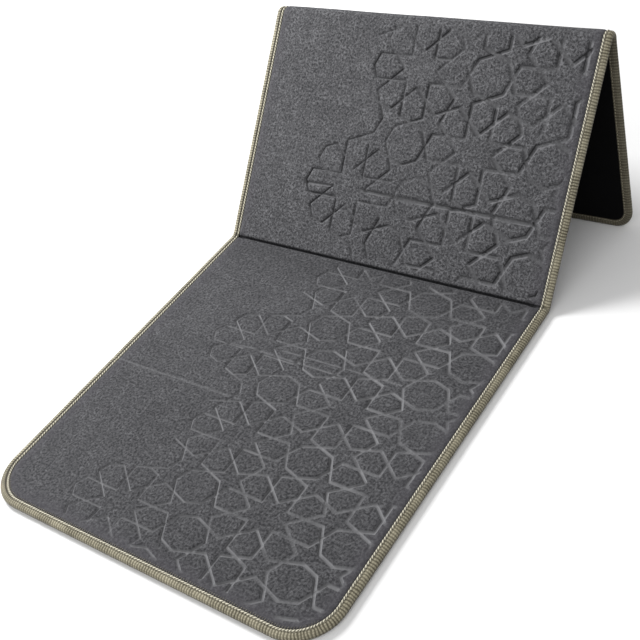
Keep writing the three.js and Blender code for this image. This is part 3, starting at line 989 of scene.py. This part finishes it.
def curled_pile():
    """Short curled pile: thin light winding ridges and specks over dark hollows."""
    group = bpy.data.node_groups.new("curled_pile", "ShaderNodeTree")
    for name, way, kind in PILE_SOCKETS:
        group.interface.new_socket(name, in_out=way, socket_type="NodeSocket" + kind)
    inside = put(group, "NodeGroupInput")
    place = inside.outputs["Place"]
    base = grain(group, place, inside.outputs["Scale"], 1.0, 0.5, 0.5)
    away = apart(group, base, 0.5)
    ridges = ranged(group, away, 0.0, RIDGE_WIDTH, 1.0, 0.0)
    speck_scale = times(group, inside.outputs["Scale"], SPECKS_FINER)
    specks = grain(group, place, speck_scale, 1.0)
    specks = ranged(group, specks, *SPECK_RANGE)
    put(group, "NodeGroupOutput", {"Ridges": ridges, "Specks": specks})
    return group


PLUSH_DARK = (0.02, 0.02, 0.022, 1)
PLUSH_LIGHT = (0.16, 0.16, 0.168, 1)
# Painted shade and painted highlight for the grooves' walls
PLUSH_SHADED = (0.012, 0.012, 0.013, 1)
PLUSH_LIT = (0.23, 0.23, 0.24, 1)
PLUSH_FUZZ = (0.066, 0.063, 0.071, 1)
# The seat's pressed lines, pressed pile lightened by a painted highlight, and the backrest's plain
# pressed pile
PLUSH_PRESSED_AND_HIGHLIGHT = (0.165, 0.165, 0.171, 1)
PLUSH_SMOOTH = (0.084, 0.084, 0.088, 1)
# Painted shade for the crease and painted shadow for the seat beside it
PLUSH_CREASE_SHADE = (0.006, 0.006, 0.007, 1)
PLUSH_SHEEN = {
    "Specular IOR Level": 0.2,
    "Sheen Weight": 0.12,
    "Sheen Roughness": 0.45,
    "Sheen Tint": (0.62, 0.62, 0.66, 1),
}
PILE_SCALE = 205
BRUSHED_SCALE = 9.0
PATCH_SCALE = 42.0
WEAR_SCALE = 60.0
FIBRE_SCALE = 900.0

# How much of the pile's parts goes into its tone, first on the seat and then on the backrest
RIDGE_SHARES = (0.27, 0.48)
SPECK_SHARES = (0.34, 0.42)
PATCH_LEAST = 0.78
BRUSHED_SHARE = 0.14
FIBRE_SHARE = 0.1
SEAT_LEVEL = -0.065
# Painted light: how much lighter the backrest's pile is painted than the seat's
BACKREST_PAINTED_LIGHT = 0.03

# How much of the lines' colour (on the seat partly a painted highlight), of the painted shade and
# painted highlight on their walls and of the marks shows
LINE_SHARES = (0.95, 0.8)
SHADE_SHARES = (0.5, 0.85)
LIT_SHARE = 0.5
MARK_SHARE = 0.55
PAINTED_SHADE_SIDE = (-0.8, -0.25)
PAINTED_HIGHLIGHT_SIDE = (0.2, 0.8)

# Distances from the edge and the crease at which their looks end, and how strong they are: the
# fuzzy band at the edge, painted shade in the crease and painted shadow on the seat beside it
FUZZY_EDGE = (0.013, 0.038, 0.55)
CREASE_SHADE_REACH = (0.0006, 0.0024, 0.9)
SHADED_SEAT = (0.0, 0.09, 0.22)
PART_CHANGE = 0.002
PILE_BUMP = 0.0009


def plush_material():
    material, tree, shader = new_material("charcoal_plush")
    place = cloth_place(tree)
    pile_inputs = {"Place": place, "Scale": PILE_SCALE}
    pile = put(tree, "ShaderNodeGroup", pile_inputs, node_tree=curled_pile())
    ridges, specks = pile.outputs

    pressed = surface_value(tree, "pressed")
    marked = surface_value(tree, "marked")
    along = surface_value(tree, "along_face")
    change = (FACE_CREASE - PART_CHANGE, FACE_CREASE + PART_CHANGE)
    on_back = ranged(tree, along, *change)
    on_seat = math_node(tree, "SUBTRACT", 1.0, on_back)

    def by_part(shares):
        return ranged(tree, on_back, 0, 1, *shares)

    # The nap stands up more on the backrest and lies softer on the seat, in patches on both; the
    # backrest's tone is also lifted, painted light so that it looks as lit as the seat
    brushed = grain(tree, place, BRUSHED_SCALE, 3.0, 0.55, 0.6)
    patches = grain(tree, place, PATCH_SCALE)
    fibres = grain(tree, place, FIBRE_SCALE, 2.0, 0.6)
    flattened = ranged(tree, patches, 0.38, 0.62, PATCH_LEAST, 1.0)
    ridge_share = times(tree, flattened, by_part(RIDGE_SHARES))
    speck_share = times(tree, flattened, by_part(SPECK_SHARES))
    tone = times(tree, ridges, ridge_share)
    tone = times_plus(tree, specks, speck_share, tone)
    tone = times_plus(tree, brushed, BRUSHED_SHARE, tone)
    tone = times_plus(tree, fibres, FIBRE_SHARE, tone)
    # Painted light: the backrest's pile is painted lighter than the seat's
    tone_level_and_painted_light = times_plus(tree, on_back, BACKREST_PAINTED_LIGHT, SEAT_LEVEL)
    tone = math_node(tree, "ADD", tone, tone_level_and_painted_light, clamp=True)
    plain = mixed(tree, tone, PLUSH_DARK, PLUSH_LIGHT)

    fuzz = ranged(tree, surface_value(tree, "from_edge"), *FUZZY_EDGE, 0.0)
    fuzzy = mixed(tree, fuzz, plain, PLUSH_FUZZ)
    worn = ranged(tree, grain(tree, place, WEAR_SCALE), 0.3, 0.55, 0.7, 1.0)
    line = times(tree, pressed, worn)
    mark = times(tree, marked, MARK_SHARE)
    flat = math_node(tree, "MAXIMUM", line, mark, clamp=True)
    # Pressed pile: on the seat a painted highlight as if the flattened pile reflects the light, on
    # the backrest plain
    pressed_colour_and_highlight = mixed(tree, on_back, PLUSH_PRESSED_AND_HIGHLIGHT, PLUSH_SMOOTH)
    line_share = times(tree, flat, by_part(LINE_SHARES))
    lined = mixed(tree, line_share, fuzzy, pressed_colour_and_highlight)
    # Painted shade on one wall of each groove and painted highlight on the other
    painted_wall_light = surface_value(tree, "painted_wall_light")
    painted_wall_shade = ranged(tree, painted_wall_light, *PAINTED_SHADE_SIDE, 1, 0)
    shaded = times(tree, painted_wall_shade, by_part(SHADE_SHARES))
    lined = mixed(tree, shaded, lined, PLUSH_SHADED)
    lined = mixed(tree, ranged(tree, painted_wall_light, *PAINTED_HIGHLIGHT_SIDE, 0.0, LIT_SHARE), lined, PLUSH_LIT)
    # Painted shade in the crease and painted shadow on the seat beside it
    to_crease = apart(tree, along, FACE_CREASE)
    painted_crease_shade = ranged(tree, to_crease, *CREASE_SHADE_REACH, 0.0)
    near_crease = ranged(tree, to_crease, *SHADED_SEAT, 0.0)
    shadowed = times(tree, near_crease, on_seat)
    painted_crease_shade = math_node(tree, "MAXIMUM", painted_crease_shade, shadowed)
    colour = mixed(tree, painted_crease_shade, lined, PLUSH_CREASE_SHADE)

    rough = ranged(tree, tone, 0.0, 1.0, 0.98, 0.82)
    standing = ranged(tree, flat, 0.0, 1.0, 1.0, 0.25)
    height = times(tree, tone, standing)
    height = times_plus(tree, fibres, 0.15, height)
    normal = bumped(tree, height, PILE_BUMP, 0.8)
    finish_shader(tree, shader, colour, rough, Normal=normal, **PLUSH_SHEEN)
    return material


TAPE_DARK = (0.045, 0.038, 0.02, 1)
TAPE_LIGHT = (0.43, 0.395, 0.285, 1)
# The bead's colour, lightened by a painted highlight
TAPE_BEAD_AND_HIGHLIGHT = (0.76, 0.72, 0.57, 1)
TAPE_SHADE = (0.028, 0.023, 0.012, 1)
TAPE_SHEEN = {"Specular IOR Level": 0.35, "Sheen Weight": 0.08, "Sheen Roughness": 0.4}
RIB_PITCH = 0.0038
CROSS_PITCH = 0.0028
TWIST_PITCH = 0.0043

# Places across the tape, along its section from the upper lip: where the bead ends, the middle of
# the seam, which is painted with shade, where the shade under the band begins and ends, and how
# soft or wide they are
BEAD_END = 0.0042
SEAM_PLACE = 0.0063
UNDERCUT_PLACES = (0.014, 0.0205)
BEAD_EDGE = 0.0003
SEAM_WIDTHS = (0.0012, 0.0024, 0.95)

# Unevenness of the ribs, and how much of weave, stains and twist goes into the tape's tone, the
# twist as painted shade between the bead's twists
WOBBLE_SCALE = 110.0
WOBBLE_TURN = 5.0
STAIN_SCALE = 34.0
CROSS_SHARES = (0.45, 0.55)
STAIN_SHARES = (0.75, 0.3)
TAPE_LEVEL = 0.02
TWIST_TONE = (0.9, 0.08)
UNDERCUT_SHADE = 0.75
TAPE_BUMP = 0.0006


def stripes(tree, value, pitch, offset=0.0):
    """A soft wave from 0 to 1 over a length, once every pitch."""
    angle = times_plus(tree, value, 2 * math.pi / pitch, offset)
    return times_plus(tree, math_node(tree, "SINE", angle), 0.5, 0.5)


def tape_material():
    material, tree, shader = new_material("khaki_tape")
    place = cloth_place(tree)
    length, width, _ = put(tree, "ShaderNodeSeparateXYZ", {"Vector": place}).outputs
    wobble = times(tree, grain(tree, place, WOBBLE_SCALE), WOBBLE_TURN)
    ribs = stripes(tree, length, RIB_PITCH, wobble)
    cross = stripes(tree, width, CROSS_PITCH, wobble)
    crossed = times(tree, ribs, cross)
    weave = summed(tree, crossed, ribs, CROSS_SHARES)
    stain = ranged(tree, grain(tree, place, STAIN_SCALE, 3.0, 0.6), 0.3, 0.7)
    tone = summed(tree, weave, stain, STAIN_SHARES)
    tone = math_node(tree, "ADD", tone, TAPE_LEVEL, clamp=True)
    band = mixed(tree, tone, TAPE_DARK, TAPE_LIGHT)
    undercut = ranged(tree, width, *UNDERCUT_PLACES, 0.0, UNDERCUT_SHADE)
    band = mixed(tree, undercut, band, TAPE_SHADE)

    # The lip is rolled into a twisted bead, with the seam sunk beside it. The bead is its own
    # light colour with a painted highlight, and painted shade between its twists
    twist = stripes(tree, math_node(tree, "ADD", length, width), TWIST_PITCH, wobble)
    twist_light_and_shade = times_plus(tree, twist, *TWIST_TONE)
    bead_and_highlight = mixed(tree, twist_light_and_shade, TAPE_SHADE, TAPE_BEAD_AND_HIGHLIGHT)
    on_bead = ranged(tree, width, BEAD_END - BEAD_EDGE, BEAD_END + BEAD_EDGE, 1.0, 0.0)
    colour = mixed(tree, on_bead, band, bead_and_highlight)
    # Painted shade in the sunk seam
    from_seam = apart(tree, width, SEAM_PLACE)
    painted_seam_shade = ranged(tree, from_seam, *SEAM_WIDTHS, 0.0)
    colour = mixed(tree, painted_seam_shade, colour, TAPE_SHADE)
    rough = ranged(tree, weave, 0.0, 1.0, 0.78, 0.5)
    normal = bumped(tree, mixed_value(tree, on_bead, weave, twist), TAPE_BUMP, 0.9)
    finish_shader(tree, shader, colour, rough, Normal=normal, **TAPE_SHEEN)
    return material


BACKING_DARK = (0.001, 0.001, 0.0011, 1)
BACKING_LIGHT = (0.004, 0.004, 0.0043, 1)
BACKING_SHEEN = {"Specular IOR Level": 0.06}
THREAD_PITCH = 0.0009
CLOUD_SCALE = 14.0
CLOUD_SHARES = (0.4, 0.6)
THREAD_BUMP = 0.0002


def backing_material():
    material, tree, shader = new_material("black_backing")
    place = cloth_place(tree)
    across, along, _ = put(tree, "ShaderNodeSeparateXYZ", {"Vector": place}).outputs
    weave = times(tree, stripes(tree, across, THREAD_PITCH), stripes(tree, along, THREAD_PITCH))
    cloudy = grain(tree, place, CLOUD_SCALE, 3.0)
    tone = summed(tree, weave, cloudy, CLOUD_SHARES)
    colour = mixed(tree, tone, BACKING_DARK, BACKING_LIGHT)
    rough = ranged(tree, cloudy, 0.3, 0.7, 0.95, 0.85)
    normal = bumped(tree, weave, THREAD_BUMP, 0.5)
    finish_shader(tree, shader, colour, rough, Normal=normal, **BACKING_SHEEN)
    return material


THREAD_DARK = (0.22, 0.19, 0.12, 1)
THREAD_LIGHT = (0.56, 0.51, 0.38, 1)


def thread_material():
    material, tree, shader = new_material("seam_thread")
    place = put(tree, "ShaderNodeTexCoord").outputs["Object"]
    twist = grain(tree, place, FIBRE_SCALE, 1.0)
    colour = mixed(tree, twist, THREAD_DARK, THREAD_LIGHT)
    rough = ranged(tree, twist, 0.2, 0.8, 0.75, 0.5)
    normal = bumped(tree, twist, THREAD_BUMP, 0.6)
    finish_shader(tree, shader, colour, rough, Normal=normal)
    return material


def finish_piece(piece, material, slot_name, *nodes):
    piece.data.materials.append(material)
    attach(piece, "root")
    if nodes:
        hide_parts(*nodes)


# Floor, light and camera
FLOOR_SIZE = 14.0
FLOOR_DROP = 0.0003
FLOOR_DARK = (0.86, 0.86, 0.86, 1)
FLOOR_LIGHT = (0.88, 0.88, 0.88, 1)
WORLD_STRENGTH = 0.47
KEY_LIGHT = {"place": (-1.45, 0.3, 1.35), "target": (0, 0, 0), "size": 0.7, "power": 52}
FILL_LIGHT = {"place": (0.6, -2.0, 1.8), "target": (0, 0, 0.1), "size": 2.4, "power": 30}
CAMERA_PLACE = (0.7466, -0.7352, 0.9158)
CAMERA_TARGET = (0.0111, -0.0191, 0.06)
CAMERA_ROLL = math.radians(-17.74)
CAMERA_LENS = 58.61
SENSOR_WIDTH = 36.0


def make_stage():
    bpy.ops.mesh.primitive_plane_add(size=FLOOR_SIZE, location=(0, 0, -FLOOR_DROP))
    floor = bpy.context.object
    floor.name = "floor"
    material, tree, shader = new_material("pale_floor")
    place = put(tree, "ShaderNodeTexCoord").outputs["Object"]
    cloudy = grain(tree, place, 3.0, 3.0)
    colour = mixed(tree, cloudy, FLOOR_DARK, FLOOR_LIGHT)
    finish_shader(tree, shader, colour, 0.85)
    floor.data.materials.append(material)


def aimed(name, data, place, target, roll=0.0):
    """A lamp or camera that looks from its place at its target."""
    made = in_scene(name, data)
    look = (Vector(target) - Vector(place)).to_track_quat("-Z", "Y").to_matrix()
    made.location = place
    made.rotation_euler = (look @ Matrix.Rotation(roll, 3, "Z")).to_euler()
    return made


def area_light(name, place, target, size, power):
    lamp = bpy.data.lights.new(name, "AREA")
    lamp.size = size
    lamp.energy = power
    aimed(name, lamp, place, target)


def make_lights():
    world = bpy.data.worlds.new("studio")
    world.use_nodes = True
    background = world.node_tree.nodes["Background"]
    background.inputs["Color"].default_value = (1, 1, 1, 1)
    background.inputs["Strength"].default_value = WORLD_STRENGTH
    bpy.context.scene.world = world
    area_light("key", **KEY_LIGHT)
    area_light("fill", **FILL_LIGHT)


def make_camera():
    lens = bpy.data.cameras.new("view")
    lens.sensor_width = SENSOR_WIDTH
    lens.lens = CAMERA_LENS
    bpy.context.scene.camera = aimed("view", lens, CAMERA_PLACE, CAMERA_TARGET, CAMERA_ROLL)


finish_piece(make_plush_pad(), plush_material(), "plush", "plush_pad")
finish_piece(make_backing(), backing_material(), "backing", "backing_cloth")
finish_piece(make_edge_tape(), tape_material(), "tape", "edge_tape")
finish_piece(make_stitches(), thread_material(), "tape")
make_stage()
make_lights()
make_camera()
bpy.context.scene.view_settings.view_transform = "Standard"
